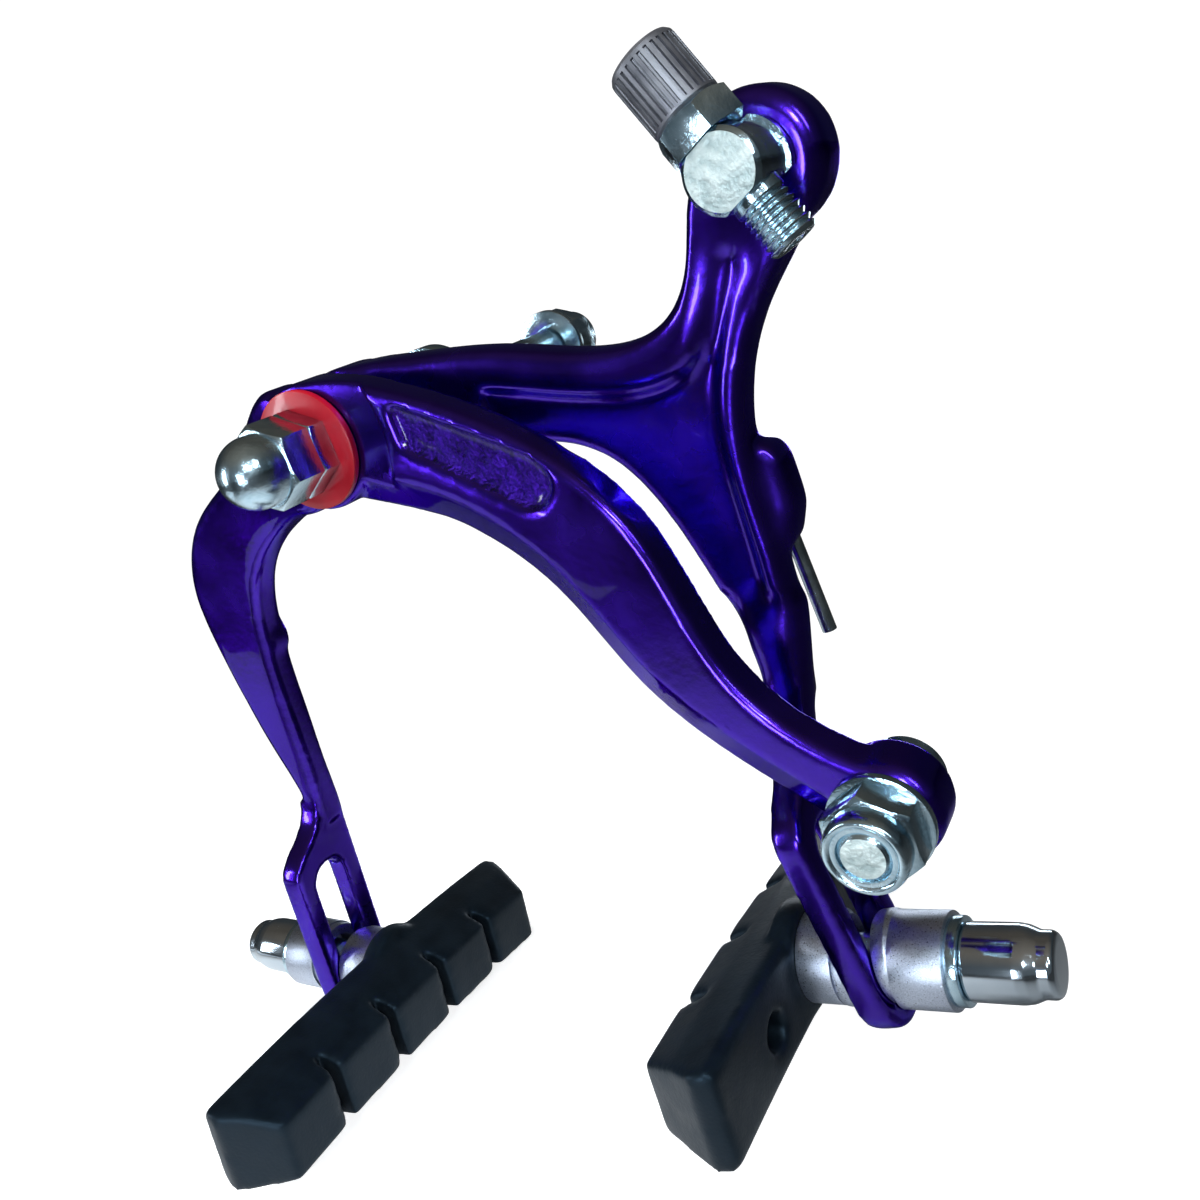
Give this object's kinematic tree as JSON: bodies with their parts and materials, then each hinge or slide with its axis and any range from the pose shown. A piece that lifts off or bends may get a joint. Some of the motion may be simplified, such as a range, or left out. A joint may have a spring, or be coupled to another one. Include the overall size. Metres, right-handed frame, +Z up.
{
  "type": "side-pull caliper brake",
  "caption": "Long-reach side-pull bicycle rim brake: purple cast arms on a shared pivot bolt, slotted legs with ball-seated pads, barrel adjuster and cable anchor, no cable",
  "frame": {"origin": "on the pivot axis, in the plane where the brake seats on the frame or fork", "axes": "+X to the right seen from the front, +Y along the pivot bolt towards the frame, +Z up"},
  "size_m": [0.1443, 0.1095, 0.126],
  "materials": {
    "purple_alloy": "glossy candy purple over cast alloy",
    "zinc_steel": "bright zinc plating",
    "chrome_plate": "smooth chrome plating",
    "satin_alloy": "satin, lightly pitted",
    "grey_alloy": "grey anodised, fluted",
    "red_lacquer": "glossy red lacquer",
    "dark_steel": "plated steel",
    "spring_wire": "bright drawn wire",
    "pad_rubber": "moulded satin black"
  },
  "bodies": {
    "core": {"pivot_bolt": "zinc_steel", "printed_washer": "red_lacquer", "pivot_lock_nut": "zinc_steel", "pivot_cap_nut": "zinc_steel", "middle_washer": "zinc_steel", "back_washer": "zinc_steel", "spring_block": "dark_steel", "return_spring": "spring_wire", "seat_washer": "zinc_steel"},
    "frame_nut": {"mount_nut": "zinc_steel", "mount_washer": "zinc_steel"},
    "front_arm": {"front_arm": "purple_alloy"},
    "rear_arm": {"rear_arm": "purple_alloy"},
    "adjuster": {"adjuster_swivel": "zinc_steel", "adjuster_washer": "zinc_steel", "adjuster_clip": "zinc_steel", "adjuster_lock_nut": "zinc_steel"},
    "barrel": {"adjuster_barrel": "grey_alloy"},
    "anchor": {"anchor_bolt": "zinc_steel", "anchor_washer": "zinc_steel", "anchor_nut": "zinc_steel"},
    "left_shoe": {"left_pad": "pad_rubber", "left_shoe_stud": "zinc_steel", "left_inner_dome": "satin_alloy", "left_inner_cup": "satin_alloy", "left_outer_dome": "satin_alloy", "left_outer_cup": "satin_alloy", "left_dish_washer": "zinc_steel", "left_shoe_nut": "chrome_plate"},
    "right_shoe": {"right_pad": "pad_rubber", "right_shoe_stud": "zinc_steel", "right_inner_dome": "satin_alloy", "right_inner_cup": "satin_alloy", "right_outer_dome": "satin_alloy", "right_outer_cup": "satin_alloy", "right_dish_washer": "zinc_steel", "right_shoe_nut": "chrome_plate"}
  },
  "joints": [
    {"name": "front_arm_pivot", "type": "hinge", "parent": "core", "child": "front_arm", "pos_m": [0, -0.0261, 0], "axis": [0, 1, 0], "range_deg": [-10.5, 0], "stiffness_Nm_per_rad": 2, "springref_deg": 8.02, "deforming": ["return_spring"]},
    {"name": "rear_arm_pivot", "type": "hinge", "parent": "core", "child": "rear_arm", "pos_m": [0, -0.0178, 0], "axis": [0, 1, 0], "range_deg": [0, 10.5], "stiffness_Nm_per_rad": 2, "springref_deg": -8.02, "deforming": ["return_spring"]},
    {"name": "adjuster_swivel_turn", "type": "hinge", "parent": "rear_arm", "child": "adjuster", "pos_m": [0.0659, -0.0257, 0.012], "axis": [0, 1, 0], "continuous": true},
    {"name": "barrel_screw", "type": "slide", "parent": "adjuster", "child": "barrel", "axis": [-0.4067, 0, 0.9135], "range_m": [0, 0.0045]},
    {"name": "anchor_turn", "type": "hinge", "parent": "front_arm", "child": "anchor", "pos_m": [0.064, -0.0296, -0.0561], "axis": [0, 1, 0], "continuous": true},
    {"name": "left_shoe_height", "type": "slide", "parent": "front_arm", "child": "left_shoe", "axis": [0.1599, 0, 0.9871], "range_m": [-0.003, 0.0165]},
    {"name": "right_shoe_height", "type": "slide", "parent": "rear_arm", "child": "right_shoe", "axis": [-0.1392, 0, 0.9903], "range_m": [-0.003, 0.015]},
    {"name": "mount_nut_screw", "type": "slide", "parent": "core", "child": "frame_nut", "axis": [0, 1, 0], "range_m": [-0.03, 0.009]}
  ]
}
